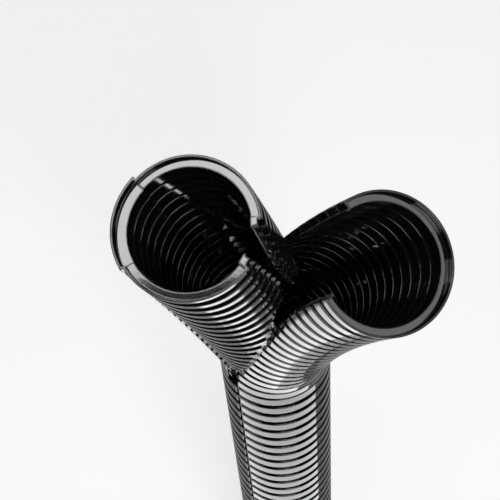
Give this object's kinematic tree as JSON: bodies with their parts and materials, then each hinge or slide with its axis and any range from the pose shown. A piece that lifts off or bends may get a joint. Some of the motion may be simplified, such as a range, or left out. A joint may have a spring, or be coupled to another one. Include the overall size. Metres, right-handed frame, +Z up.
{
  "type": "two-part corrugated conduit",
  "caption": "Black corrugated split conduit in two interlocking slit shells, nested as one tube and peeled apart into a Y at the top for laying in wires.",
  "frame": {"origin": "centre of the tube on the plane of its cut base, on which it stands", "axes": "+Z up along the straight tube; the peeled shells lean to +X (outer) and -X (inner), and both towards -Y, the side from which one looks into the mouths"},
  "size_m": [0.0951, 0.0848, 0.5237],
  "materials": {
    "black_plastic": "glossy black extruded plastic"
  },
  "bodies": {
    "root": {"outer_shell": "black_plastic", "inner_shell": "black_plastic"}
  },
  "joints": []
}
